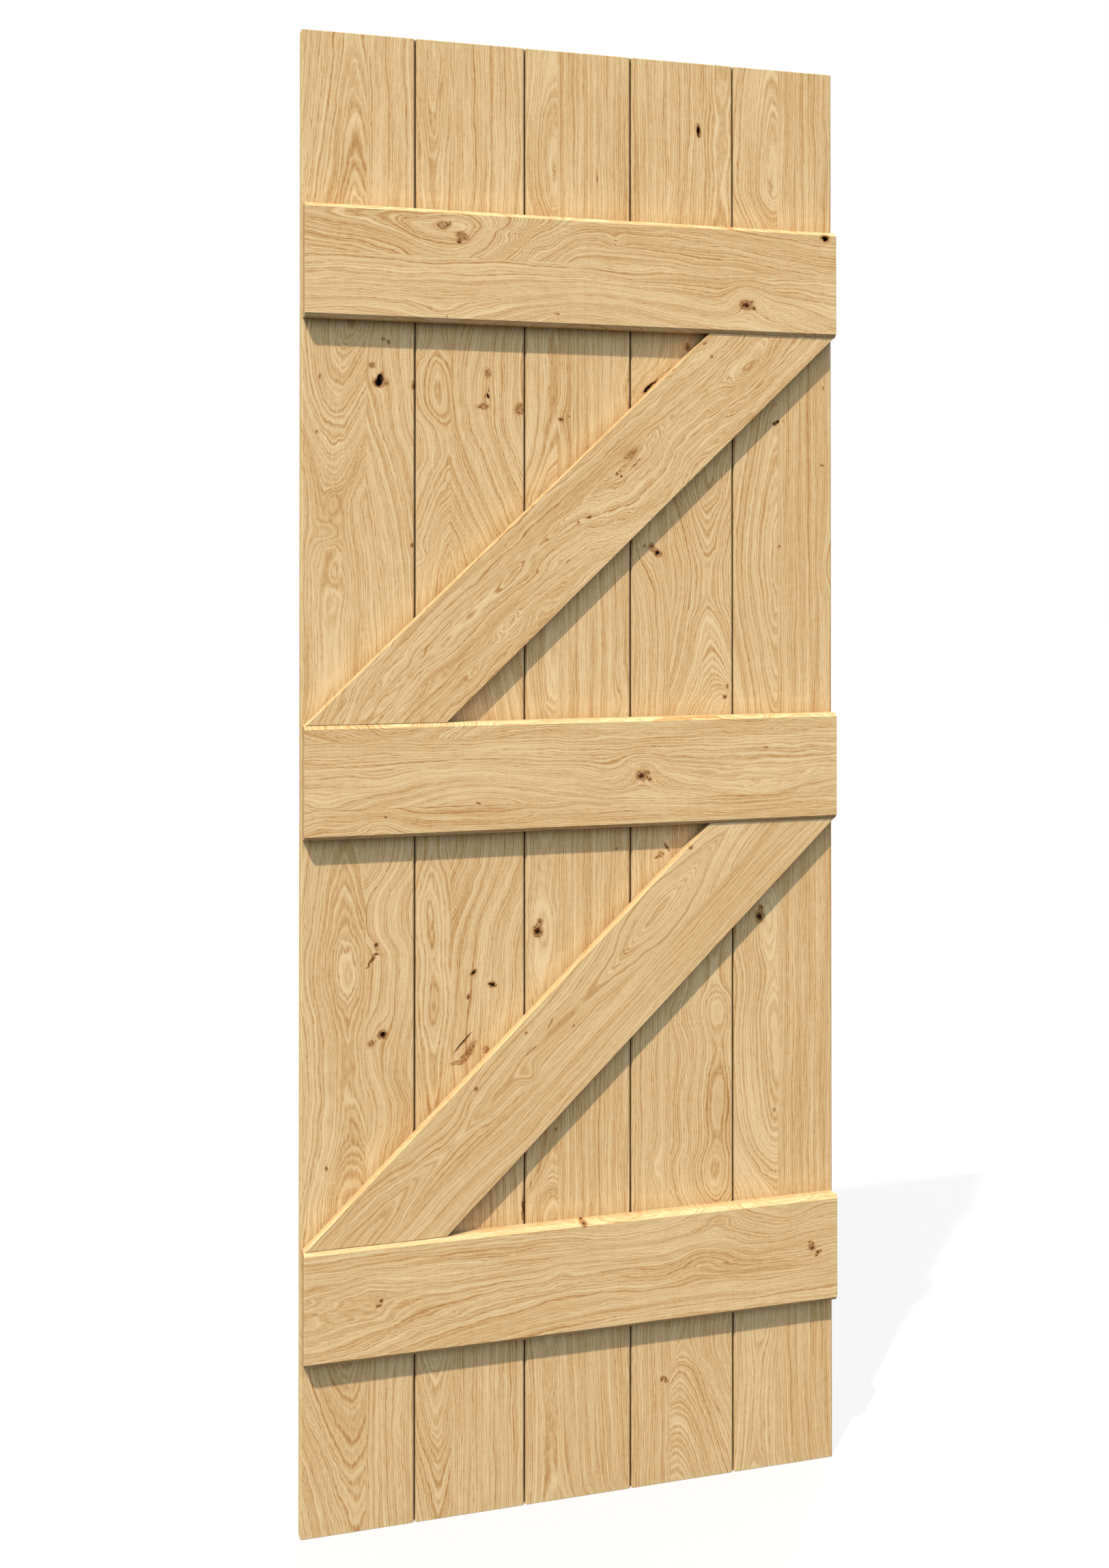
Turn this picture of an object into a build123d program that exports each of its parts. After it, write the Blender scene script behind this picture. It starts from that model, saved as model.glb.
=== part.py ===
# Ledged and braced door leaf in solid oak. Five tongue-and-groove boards stand side by side, three
# ledges cross them on one side, and a brace rises from the hinge side between each pair of ledges.
# The ledges and braces are screwed on through the boards, and pellets close the screw holes.
# X runs across the leaf, Y through it from the ledge side to the board side, and Z up. The origin
# lies under the middle of the leaf, in the plane where the boards meet the ledges.

import os
from math import asin, atan2, hypot, sin

from build123d import *

os.makedirs("parts", exist_ok=True)

# Leaf
leaf_height = 1981.0
leaf_width = 762.0
board_count = 5

# Boards
board_thickness = 20.0
board_arris = 2.0
joint_gap = 2.0
tongue_thickness = 6.0
tongue_length = 9.0
tongue_arris = 1.0
tongue_clearance = 0.2
groove_depth = 10.0
board_end_arris = 0.6

# Ledges
ledge_width = 150.0
ledge_thickness = 20.0
ledge_arris = 5.0
ledge_end_arris = 0.6
ledge_inset = 1.5
ledge_margin = 231.0

# Braces
brace_width = 130.0
brace_thickness = 16.0
brace_arris = 0.6
brace_end_inset = 2.0
brace_end_clearance = 0.1

# Screws and the pellets over their heads
ledge_screw_length = 30.0
brace_screw_length = 25.0
screw_diameter = 4.5
screw_head_diameter = 9.0
screw_point_length = 6.0
screw_recess_width = 1.4
screw_recess_length = 5.0
screw_recess_depth = 2.0
screw_clearance = 0.1
pellet_diameter = 10.0
pellet_length = 6.0
pellet_clearance = 0.05
bore_overrun = 1.0

# Places of the ledge screws: sideways from a board's middle and up from a ledge's middle
screw_stagger_share = 0.22
screw_rise_share = 0.25

# Open knots and shakes on the ledge side. Each row gives the place on the piece, from its left end and
# from its foot, then the width and the length as shares of a board, and the turn as a share of a half turn.
open_knot_depth = 8.0
open_knot_floor_share = 0.6
open_knot_shares = {
    "board_1": [(0.690, 0.7680, 0.062, 0.115, 0.04), (0.718, 0.3292, 0.036, 0.046, 0.0)],
    "board_2": [(0.428, 0.3197, 0.017, 0.230, -0.24), (0.660, 0.7593, 0.026, 0.052, 0.12)],
    "board_4": [(0.662, 0.9510, 0.034, 0.125, 0.02)],
    "board_5": [(0.452, 0.7470, 0.036, 0.040, 0.0)],
    "top_ledge": [(0.9780, 0.9350, 0.056, 0.048, 0.2)],
}

board_pitch = leaf_width / board_count
ledge_length = leaf_width - 2 * ledge_inset

ledge_feet = {
    "top_ledge": leaf_height - ledge_margin - ledge_width,
    "middle_ledge": (leaf_height - ledge_width) / 2,
    "bottom_ledge": ledge_margin,
}
brace_feet = {
    "upper_brace": ledge_feet["middle_ledge"] + ledge_width,
    "lower_brace": ledge_feet["bottom_ledge"] + ledge_width,
}
brace_heads = {
    "upper_brace": ledge_feet["top_ledge"],
    "lower_brace": ledge_feet["middle_ledge"],
}


def board_name(index):
    return f"board_{index + 1}"


def board_middle(index):
    return (index + 0.5) * board_pitch - leaf_width / 2


# A brace's four corners. Its foot starts just inside the hinge-side end of the lower ledge, its head stops
# just short of the other end of the upper ledge, and both ends are cut level.
def brace_corners(name):
    foot = brace_feet[name] + brace_end_clearance
    head = brace_heads[name] - brace_end_clearance
    head_corner = ledge_length / 2 - brace_end_inset
    foot_corner = -head_corner
    run = head_corner - foot_corner
    rise = head - foot
    slope = atan2(rise, run) + asin(brace_width / hypot(run, rise))
    level_width = brace_width / sin(slope)
    return [
        (foot_corner, foot),
        (foot_corner + level_width, foot),
        (head_corner, head),
        (head_corner - level_width, head),
    ]


# Two screws for each board on a ledge, set on a slant
def ledge_seats(name, index):
    middle = ledge_feet[name] + ledge_width / 2
    stagger = board_pitch * screw_stagger_share
    rise = ledge_width * screw_rise_share
    return [
        (board_middle(index) - stagger, middle + rise),
        (board_middle(index) + stagger, middle - rise),
    ]


# One screw for each board on a brace, on the brace's middle line and midway across the board's share of it
def brace_seat(name, index):
    corners = brace_corners(name)
    foot_x = (corners[0][0] + corners[1][0]) / 2
    head_x = (corners[2][0] + corners[3][0]) / 2
    left = max(board_middle(index) - board_pitch / 2, foot_x)
    right = min(board_middle(index) + board_pitch / 2, head_x)
    across = (left + right) / 2
    slope_share = (across - foot_x) / (head_x - foot_x)
    return (across, corners[0][1] + slope_share * (corners[2][1] - corners[0][1]))


# A screw's place: its head lies under the pellet, and it points from the board side to the ledge side
def seat_location(seat):
    head = (seat[0], board_thickness - pellet_length, seat[1])
    return Location(Plane(head, x_dir=(1, 0, 0), z_dir=(0, 1, 0)))


ledge_screw_seats = {name: [ledge_seats(name, i) for i in range(board_count)] for name in ledge_feet}
brace_screw_seats = {name: [brace_seat(name, i) for i in range(board_count)] for name in brace_feet}


def ledge_seats_in_board(index):
    return [seat for rows in ledge_screw_seats.values() for seat in rows[index]]


def brace_seats_in_board(index):
    return [row[index] for row in brace_screw_seats.values()]


def seats_in_ledge(name):
    return [seat for pair in ledge_screw_seats[name] for seat in pair]


screw_radius = screw_diameter / 2
screw_head_radius = screw_head_diameter / 2
screw_head_height = screw_head_radius - screw_radius
bore_radius = screw_radius + screw_clearance
pellet_radius = pellet_diameter / 2


# Countersunk wood screw, with the top of its head at the origin and its point down
def make_screw(length):
    with BuildPart() as screw:
        with BuildSketch(Plane.XZ):
            with BuildLine():
                Polyline(
                    (0, 0),
                    (screw_head_radius, 0),
                    (screw_radius, -screw_head_height),
                    (screw_radius, screw_point_length - length),
                    (0, -length),
                    close=True,
                )
            make_face()
        revolve(axis=Axis.Z)
        with BuildSketch(Plane.XY):
            Rectangle(screw_recess_length, screw_recess_width)
            Rectangle(screw_recess_width, screw_recess_length)
        extrude(amount=-screw_recess_depth, mode=Mode.SUBTRACT)
    return screw.part


# The hole for one screw and its pellet
def make_screw_bore(length):
    with BuildPart() as bore:
        with BuildSketch(Plane.XZ):
            with BuildLine():
                Polyline(
                    (0, pellet_length + bore_overrun),
                    (pellet_radius, pellet_length + bore_overrun),
                    (pellet_radius, 0),
                    (screw_head_radius + screw_clearance, 0),
                    (bore_radius, -screw_head_height),
                    (bore_radius, screw_point_length - length),
                    (0, -length - screw_clearance),
                    close=True,
                )
            make_face()
        revolve(axis=Axis.Z)
    return bore.part


ledge_screw = make_screw(ledge_screw_length)
brace_screw = make_screw(brace_screw_length)
ledge_screw_bore = make_screw_bore(ledge_screw_length)
brace_screw_bore = make_screw_bore(brace_screw_length)

# Pellet that closes one screw hole flush with the boards
with BuildPart() as pellet:
    with BuildSketch(Plane.XY):
        Circle(pellet_radius - pellet_clearance)
    extrude(amount=pellet_length)


# The hollows of one piece's open knots, which narrow from its ledge-side face inwards
def make_open_knots(name, face, left, foot, width, height):
    with BuildPart() as hollows:
        for across, up, knot_width, knot_length, turn in open_knot_shares[name]:
            for level, size_share in ((face, 1), (face.offset(-open_knot_depth), open_knot_floor_share)):
                with BuildSketch(level):
                    with Locations((left + across * width, foot + up * height)):
                        Ellipse(
                            size_share * knot_width * board_pitch / 2,
                            size_share * knot_length * board_pitch / 2,
                            rotation=turn * 180,
                        )
            loft()
    return hollows.part


# One board: square outer edges or a grooved left and tongued right edge, with eased arrises
def make_board(index):
    name = board_name(index)
    first = index == 0
    last = index == board_count - 1
    left = board_middle(index) - board_pitch / 2
    right = board_middle(index) + board_pitch / 2
    left_shoulder = left if first else left + joint_gap / 2
    right_shoulder = right if last else right - joint_gap / 2
    middle_depth = board_thickness / 2
    with BuildPart() as board:
        with BuildSketch(Plane.XY) as section:
            with Locations(((left_shoulder + right_shoulder) / 2, middle_depth)):
                Rectangle(right_shoulder - left_shoulder, board_thickness)
            chamfer(section.vertices(), board_arris)
            if not last:
                with Locations((right_shoulder, middle_depth)):
                    Rectangle(tongue_length, tongue_thickness, align=(Align.MIN, Align.CENTER))
                chamfer(section.vertices().sort_by(Axis.X)[-2:], tongue_arris)
            if not first:
                groove_width = tongue_thickness + 2 * tongue_clearance
                with Locations((left_shoulder, middle_depth)):
                    Rectangle(groove_depth, groove_width, align=(Align.MIN, Align.CENTER), mode=Mode.SUBTRACT)
        extrude(amount=leaf_height)
        chamfer(board.faces().filter_by(Axis.Z).edges(), board_end_arris)
        with Locations(*[seat_location(seat) for seat in ledge_seats_in_board(index)]):
            add(ledge_screw_bore, mode=Mode.SUBTRACT)
        with Locations(*[seat_location(seat) for seat in brace_seats_in_board(index)]):
            add(brace_screw_bore, mode=Mode.SUBTRACT)
        if name in open_knot_shares:
            hollows = make_open_knots(name, Plane.XZ, left, 0, board_pitch, leaf_height)
            add(hollows, mode=Mode.SUBTRACT)
    return board.part


# One ledge: a plank across the boards, with wide chamfers along its two outer edges
def make_ledge(name):
    foot = ledge_feet[name]
    with BuildPart() as ledge:
        with BuildSketch(Plane.YZ.offset(-ledge_length / 2)) as section:
            with Locations((0, foot)):
                Rectangle(ledge_thickness, ledge_width, align=(Align.MAX, Align.MIN))
            chamfer(section.vertices().sort_by(Axis.X)[:2], ledge_arris)
        extrude(amount=ledge_length)
        chamfer(ledge.faces().filter_by(Axis.X).edges().sort_by(Axis.Y)[:-2], ledge_end_arris)
        with Locations(*[seat_location(seat) for seat in seats_in_ledge(name)]):
            add(ledge_screw_bore, mode=Mode.SUBTRACT)
        if name in open_knot_shares:
            face = Plane.XZ.offset(ledge_thickness)
            hollows = make_open_knots(name, face, -ledge_length / 2, foot, ledge_length, ledge_width)
            add(hollows, mode=Mode.SUBTRACT)
    return ledge.part


# One brace: a plank on the slant, thinner than the ledges and cut level at both ends
def make_brace(name):
    with BuildPart() as brace:
        with BuildSketch(Plane.XZ):
            with BuildLine():
                Polyline(*brace_corners(name), close=True)
            make_face()
        extrude(amount=brace_thickness)
        chamfer(brace.faces().sort_by(Axis.Y)[0].edges(), brace_arris)
        with Locations(*[seat_location(seat) for seat in brace_screw_seats[name]]):
            add(brace_screw_bore, mode=Mode.SUBTRACT)
    return brace.part


# A set of like fixings, one at each seat
def make_fixings(pattern, seats):
    with BuildPart() as fixings:
        with Locations(*[seat_location(seat) for seat in seats]):
            add(pattern)
    return fixings.part


all_ledge_seats = [seat for name in ledge_feet for seat in seats_in_ledge(name)]
all_brace_seats = [seat for name in brace_feet for seat in brace_screw_seats[name]]

pieces = {board_name(index): make_board(index) for index in range(board_count)}
pieces.update({name: make_ledge(name) for name in ledge_feet})
pieces.update({name: make_brace(name) for name in brace_feet})
pieces["ledge_screws"] = make_fixings(ledge_screw, all_ledge_seats)
pieces["brace_screws"] = make_fixings(brace_screw, all_brace_seats)
pieces["ledge_pellets"] = make_fixings(pellet.part, all_ledge_seats)
pieces["brace_pellets"] = make_fixings(pellet.part, all_brace_seats)

for name, piece in pieces.items():
    piece.label = name
    export_step(piece, f"parts/{name}.step")
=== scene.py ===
import math

import bmesh
import bpy
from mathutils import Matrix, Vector


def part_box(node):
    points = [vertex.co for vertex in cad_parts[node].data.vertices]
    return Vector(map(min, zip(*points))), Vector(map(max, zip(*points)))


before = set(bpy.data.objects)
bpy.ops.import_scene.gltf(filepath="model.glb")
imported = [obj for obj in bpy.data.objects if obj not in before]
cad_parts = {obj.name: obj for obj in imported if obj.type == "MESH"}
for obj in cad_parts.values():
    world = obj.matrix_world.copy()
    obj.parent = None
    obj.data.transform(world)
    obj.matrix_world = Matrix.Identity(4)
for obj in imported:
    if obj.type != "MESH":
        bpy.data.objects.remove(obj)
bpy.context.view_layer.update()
scene = bpy.context.scene
scene.view_settings.view_transform = "Standard"
print("leaf loaded with", len(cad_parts), "nodes")

# camera at the height and turn that the leaf's edges give
cameraView = {
    "place": (-0.718, -2.298, 1.269),
    "turn": 16.57,  # degrees towards +X
    "rise": 0.414,  # degrees above level
    "frameSize": (1624, 2296),
    "focalLength": 2564.5,  # pixels of that frame
    "horizon": 816,  # pixels below the top edge
}

camera = bpy.data.objects.new("frontCamera", bpy.data.cameras.new("frontCamera"))
scene.collection.objects.link(camera)
longSide = cameraView["frameSize"][1]
camera.data.sensor_width = 36
camera.data.lens = camera.data.sensor_width * cameraView["focalLength"] / longSide
camera.data.shift_y = (cameraView["horizon"] - longSide / 2) / longSide
camera.location = cameraView["place"]
camera.rotation_euler = (math.radians(90 + cameraView["rise"]), 0, math.radians(-cameraView["turn"]))
scene.camera = camera
print("camera set")


# paint-chart values to linear colour
def paint(red, green, blue):
    def linear(value):
        share = value / 255
        return share / 12.92 if share <= 0.04045 else ((share + 0.055) / 1.055) ** 2.4

    return (linear(red), linear(green), linear(blue), 1)


# node helpers: a value is a plain number or another node's output
def plug(tree, socket, value):
    if isinstance(value, bpy.types.NodeSocket):
        tree.links.new(value, socket)
    else:
        socket.default_value = value


def fillNode(tree, node, values):
    for socket, value in zip(node.inputs, values):
        plug(tree, socket, value)


def mathNode(tree, operation, *values):
    node = tree.nodes.new("ShaderNodeMath")
    node.operation = operation
    fillNode(tree, node, values)
    return node.outputs[0]


def vectorNode(tree, operation, *values):
    node = tree.nodes.new("ShaderNodeVectorMath")
    node.operation = operation
    fillNode(tree, node, values)
    return node.outputs["Value" if operation in ("DOT_PRODUCT", "LENGTH") else "Vector"]


def joinNode(tree, *values):
    node = tree.nodes.new("ShaderNodeCombineXYZ")
    fillNode(tree, node, values)
    return node.outputs[0]


def rangeNode(tree, value, low, high, outLow=0.0, outHigh=1.0):
    node = tree.nodes.new("ShaderNodeMapRange")
    node.interpolation_type = "SMOOTHSTEP"
    fillNode(tree, node, (value, low, high, outLow, outHigh))
    return node.outputs[0]


# noise about zero, with its grain size given per axis in millimetres
def noiseNode(tree, vector, sizes, detail=2.0, output="Fac"):
    scaled = vectorNode(tree, "DIVIDE", vector, sizes)
    node = tree.nodes.new("ShaderNodeTexNoise")
    node.inputs["Scale"].default_value = 1.0
    node.inputs["Detail"].default_value = detail
    plug(tree, node.inputs["Vector"], scaled)
    if output == "Color":
        return vectorNode(tree, "SUBTRACT", node.outputs["Color"], (0.5, 0.5, 0.5))
    return mathNode(tree, "SUBTRACT", node.outputs["Fac"], 0.5)


def mixNode(tree, factor, first, second, blend="MIX"):
    node = tree.nodes.new("ShaderNodeMix")
    node.data_type = "RGBA"
    node.blend_type = blend
    plug(tree, node.inputs[0], factor)
    plug(tree, node.inputs[6], first)
    plug(tree, node.inputs[7], second)
    return node.outputs[2]


# smooth curve through given (place, value) points
def curveNode(tree, place, points):
    values = [value for _, value in points]
    low, high = min(values), max(values)
    if high - low < 1e-6:
        return low
    start, end = points[0][0], points[-1][0]
    node = tree.nodes.new("ShaderNodeFloatCurve")
    curve = node.mapping.curves[0]
    while len(curve.points) < len(points):
        curve.points.new(0.5, 0.5)
    for point, (at, value) in zip(curve.points, points):
        point.location = ((at - start) / (end - start), (value - low) / (high - low))
    node.mapping.update()
    share = mathNode(tree, "MULTIPLY_ADD", place, 1 / (end - start), -start / (end - start))
    plug(tree, node.inputs["Value"], share)
    return mathNode(tree, "MULTIPLY_ADD", node.outputs[0], high - low, low)


# oak as it comes off the planer, with no finish on it
oak = {
    "pale": (243, 216, 168),
    "tan": (224, 190, 137),
    "brown": (198, 150, 91),
    "pore": (150, 99, 52),
    "knotHalo": (208, 160, 102),
    "knotRing": (132, 78, 36),
    "knotHeart": (84, 43, 17),
    # black painted as the shade inside open knots
    "knotPit": (10, 6, 4),
    # painted shade down in the joints between boards
    "jointShade": (58, 42, 27),
    "endGrain": (196, 158, 110),
    "depthStops": ((0.0, "pale"), (0.3, "tan"), (0.6, "brown"), (1.0, "pore")),  # pale wood to dark
    "waveSize": (140, 50, 45),  # grain sizes of the noises, in millimetres
    "rippleSize": (46, 15, 14),
    "raggedSize": (20, 1.5, 1.5),
    "ragged": 1.3,
    "fibreSize": (24, 2.5, 1),
    "dashSize": (11, 2.5, 0.8),
    "threadSize": (120, 0.9, 1),
    "bandSize": (320, 6, 1),
    "poreSize": (8, 2, 0.7),
    "broadSize": (300, 50, 50),
    "planingSize": (1.6, 30, 46),
    "seamShift": 731.0,  # millimetres that keep the noises of staves and of pieces apart
    "pieceShift": 97.0,
    "yearShift": 31.0,
    "goodYears": ((11, 2.4), (48, 7.0)),  # growth between good years, and the rings they come to
    "earlyWood": (0.26, 0.75),  # where a ring's dark start is deepest, and where it has faded
    "lateWood": (0.5, 0.95),
    "ringLuck": 1.8,  # more leaves fewer strong rings
    "ringDark": (0.06, 0.33),  # least and most that one ring's early wood darkens
    "ringPale": 0.12,
    "dashRange": (-0.12, 0.16, 0.3, 1.4),  # noise from and to, and the weight at each
    "sideRange": (0.3, 0.9, 0.3, 1.0),  # narrow sides are plainer than the wide faces
    "poreRange": (0.03, 0.15),
    "latePores": 0.25,  # share of the pores outside the early wood
    "bandDark": 0.88,
    "threadDark": 0.36,
    "fibreDark": 0.5,
    "poreDark": 0.18,
    "broadDark": 0.2,
    "planingDark": 0.08,
    "base": 0.228,
    "roughness": 0.62,
    "poreRough": 0.2,
    "shine": 0.06,
    "poreDepth": 0.0004,
    "poreBump": 0.15,
    "fibreBump": 0.6,  # against 1 for a pore
    "boardMiddle": 10,  # millimetres in from the face
    "jointBeside": (6.5, 8, 0.35, 0),  # from and to, beside the joint, and the shade at each
    "jointInside": (7.4, 8.4, 1, 0),  # the same, from the middle of the board's thickness
    "endRange": (0.7, 0.95, 0.0, 0.5),
    # painted corner shade: how far the occlusion looks, in metres, and how dark it paints
    "cornerReach": 0.02,
    "cornerShade": 0.55,
    "footUnshaded": (2, 30),  # no painted corner shade where the boards stand on the floor
}

# knots: each range is how far into the knot from and to, and the strength at each
knotLook = {
    "raggedSize": (7, 7, 7),  # noise sizes are in millimetres
    "ragged": (6, 0, 6),
    "through": 1e6,  # a knot goes right through its plank
    "fade": math.exp(-0.7),  # what is left of a mark at its stated size
    "crumbleSize": (2.4, 4, 2.4),
    "crumble": 0.5,
    "spotSize": (1.8, 4, 1.6),
    "mottleSize": (4, 6, 3),
    "mottle": (-0.14, 0.12, 0.3, 1.0),  # this one is from and to in its noise
    "halo": (0.06, 0.5, 0.0, 0.55),
    "ring": (0.32, 0.54),
    "inside": (0.6, 0.8, 0.9, 0.55),
    "heart": (0.82, 0.98, 0.0, 0.92),
    "gone": (1.16, 1.3),
    # no painted corner shade inside the knots' marks
    "shadeFree": (0.1, 0.5, 1.0, 0.0),
}


# one knot's pull on the growth rings round it
def knotPull(tree, field, grain, knot):
    reachAcross, reachAlong = knot["reach"]
    along, across = knot["at"]
    shrink = (1 / reachAlong, 0, 1 / reachAcross)
    shift = (-along / reachAlong, 0, -across / reachAcross)
    place = vectorNode(tree, "MULTIPLY_ADD", grain["vector"], shrink, shift)
    fade = mathNode(tree, "POWER", math.exp(-1), vectorNode(tree, "DOT_PRODUCT", place, place))
    if "lift" in knot:
        field = mathNode(tree, "MULTIPLY_ADD", fade, knot["lift"], field)
    if "spread" in knot:
        side = mathNode(tree, "MULTIPLY", vectorNode(tree, "DOT_PRODUCT", place, (0, 0, 1)), fade)
        field = mathNode(tree, "MULTIPLY_ADD", side, -knot["spread"], field)
    return field


# distance from the log's heart, which wanders along the stave, plus the pull of its knots
def staveField(tree, grain, stave):
    heart = curveNode(tree, grain["along"], [(row[0], row[1]) for row in stave["hearts"]])
    lift = curveNode(tree, grain["along"], [(row[0], row[2]) for row in stave["hearts"]])
    aside = mathNode(tree, "SUBTRACT", grain["across"], heart)
    behind = mathNode(tree, "ADD", grain["deep"], stave["deep"])
    field = mathNode(tree, "ADD", vectorNode(tree, "LENGTH", joinNode(tree, aside, behind, 0.0)), lift)
    for knot in stave.get("knots", []):
        if "reach" in knot:
            field = knotPull(tree, field, grain, knot)
    return field


# how far each point is into a knot: 0 in clear wood, about 1 at a knot's heart
def knotMarks(tree, grain, staves):
    ragged = noiseNode(tree, grain["vector"], knotLook["raggedSize"], 3.0, "Color")
    warped = vectorNode(tree, "MULTIPLY_ADD", ragged, knotLook["ragged"], grain["vector"])
    marks = 0.0
    for knot in [knot for stave in staves for knot in stave.get("knots", []) if "size" in knot]:
        along, across = knot["at"]
        wide, tall = knot["size"]
        turn = math.radians(knot.get("turn", 0))
        size = (tall, knotLook["through"], wide)
        lie = tree.nodes.new("ShaderNodeMapping")
        lie.vector_type = "TEXTURE"
        fillNode(tree, lie, (warped, (along, 0, across), (0, turn, 0), size))
        place = lie.outputs[0]
        fade = mathNode(tree, "POWER", knotLook["fade"], vectorNode(tree, "DOT_PRODUCT", place, place))
        marks = mathNode(tree, "MULTIPLY_ADD", fade, knot["dark"], marks)
    return marks


# a warm halo, a dark ring, a brown inside with dark spots, and black painted as the shade inside open knots
def knotColour(tree, grain, marks, colour):
    crumble = noiseNode(tree, grain["vector"], knotLook["crumbleSize"])
    broken = mathNode(tree, "MULTIPLY_ADD", crumble, knotLook["crumble"], marks)
    spots = mathNode(tree, "ADD", noiseNode(tree, grain["vector"], knotLook["spotSize"], 1.0), marks)
    mottle = rangeNode(tree, noiseNode(tree, grain["vector"], knotLook["mottleSize"]), *knotLook["mottle"])
    inside = rangeNode(tree, broken, *knotLook["inside"])
    ring = mathNode(tree, "MULTIPLY", rangeNode(tree, broken, *knotLook["ring"]), inside)
    layers = (
        (rangeNode(tree, marks, *knotLook["halo"]), "knotHalo"),
        (mathNode(tree, "MULTIPLY", ring, mottle), "knotRing"),
        (rangeNode(tree, spots, *knotLook["heart"]), "knotHeart"),
        (rangeNode(tree, broken, *knotLook["gone"]), "knotPit"),
    )
    for share, name in layers:
        colour = mixNode(tree, share, colour, paint(*oak[name]))
    return colour


# solid oak: growth rings, pores, fibres and knots in the piece's own millimetres
def oakMaterial(piece):
    material = bpy.data.materials.new(piece["node"] + "_oak")
    material.use_nodes = True
    tree = material.node_tree
    shader = tree.nodes["Principled BSDF"]
    lay = piece["lay"]
    coordinate = tree.nodes.new("ShaderNodeTexCoord")
    mapping = tree.nodes.new("ShaderNodeMapping")
    mapping.inputs["Location"].default_value = lay["shift"]
    mapping.inputs["Rotation"].default_value = (0, math.radians(lay["turn"]), 0)
    mapping.inputs["Scale"].default_value = lay["scale"]
    plug(tree, mapping.inputs["Vector"], coordinate.outputs["Object"])
    split = tree.nodes.new("ShaderNodeSeparateXYZ")
    plug(tree, split.inputs[0], mapping.outputs[0])
    grain = {
        "vector": mapping.outputs[0],
        "along": split.outputs[0],
        "deep": split.outputs[1],
        "across": split.outputs[2],
    }

    # rings of each stave, changing over at the glue seams
    staves = piece["staves"]
    field = staveField(tree, grain, staves[0])
    tone = staves[0].get("tone", 0.0)
    bold = staves[0].get("bold", 1.0)
    shift = 0.0
    for number, stave in enumerate(staves[1:], 1):
        past = mathNode(tree, "GREATER_THAN", grain["across"], stave["from"])
        mix = tree.nodes.new("ShaderNodeMix")
        fillNode(tree, mix, (past,))
        plug(tree, mix.inputs[2], field)
        plug(tree, mix.inputs[3], staveField(tree, grain, stave))
        field = mix.outputs[0]
        before = staves[number - 1]
        tone = mathNode(tree, "MULTIPLY_ADD", past, stave.get("tone", 0.0) - before.get("tone", 0.0), tone)
        bold = mathNode(tree, "MULTIPLY_ADD", past, stave.get("bold", 1.0) - before.get("bold", 1.0), bold)
        shift = mathNode(tree, "MULTIPLY_ADD", past, oak["seamShift"], shift)
    apart = joinNode(tree, shift, piece["seed"] * oak["pieceShift"], 0.0)
    moved = vectorNode(tree, "ADD", grain["vector"], apart)
    wave = noiseNode(tree, moved, oak["waveSize"])
    ripple = noiseNode(tree, moved, oak["rippleSize"])
    ragged = noiseNode(tree, moved, oak["raggedSize"])
    field = mathNode(tree, "MULTIPLY_ADD", wave, piece["wave"], field)
    field = mathNode(tree, "MULTIPLY_ADD", ripple, piece["ripple"], field)
    field = mathNode(tree, "MULTIPLY_ADD", ragged, oak["ragged"], field)

    # one ring: a sharp dark start that fades out, and a pale end
    years = joinNode(tree, field, piece["seed"] * oak["yearShift"], 0.0)
    rings = mathNode(tree, "MULTIPLY", field, 1 / piece["ring"])
    for growth, extra in oak["goodYears"]:
        rings = mathNode(tree, "MULTIPLY_ADD", noiseNode(tree, years, (growth, 1, 1), 1.0), extra, rings)
    chance = tree.nodes.new("ShaderNodeTexWhiteNoise")
    chance.noise_dimensions = "1D"
    plug(tree, chance.inputs["W"], mathNode(tree, "FLOOR", rings))
    phase = mathNode(tree, "FRACT", rings)
    deepest, faded = oak["earlyWood"]
    start = rangeNode(tree, phase, 0.0, deepest)
    early = mathNode(tree, "MULTIPLY", start, rangeNode(tree, phase, deepest, faded, 1.0, 0.0))
    late = rangeNode(tree, phase, *oak["lateWood"])
    faint, strong = oak["ringDark"]
    luck = mathNode(tree, "POWER", chance.outputs["Value"], oak["ringLuck"])
    weight = mathNode(tree, "MULTIPLY_ADD", luck, strong - faint, faint)

    # fibres and pores lie along the piece as short dashes, with most pores in the early wood
    fibre = noiseNode(tree, moved, oak["fibreSize"])
    dash = rangeNode(tree, noiseNode(tree, moved, oak["dashSize"], 1.0), *oak["dashRange"])
    weight = mathNode(tree, "MULTIPLY", weight, mathNode(tree, "MULTIPLY", dash, bold))
    front = vectorNode(tree, "DOT_PRODUCT", coordinate.outputs["Normal"], (0, 1, 0))
    plain = rangeNode(tree, mathNode(tree, "ABSOLUTE", front), *oak["sideRange"])
    weight = mathNode(tree, "MULTIPLY", weight, plain)
    lines = joinNode(tree, grain["along"], field, shift)
    thread = mathNode(tree, "MULTIPLY", noiseNode(tree, lines, oak["threadSize"], 1.0), plain)
    band = mathNode(tree, "MULTIPLY", noiseNode(tree, lines, oak["bandSize"]), plain)
    poreNoise = noiseNode(tree, moved, oak["poreSize"], 1.0)
    poreRoom = mathNode(tree, "MULTIPLY_ADD", early, 1 - oak["latePores"], oak["latePores"])
    pore = mathNode(tree, "MULTIPLY", rangeNode(tree, poreNoise, *oak["poreRange"]), poreRoom)
    broad = noiseNode(tree, moved, oak["broadSize"], 1.0)
    planing = noiseNode(tree, grain["vector"], oak["planingSize"], 0.0)

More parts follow.
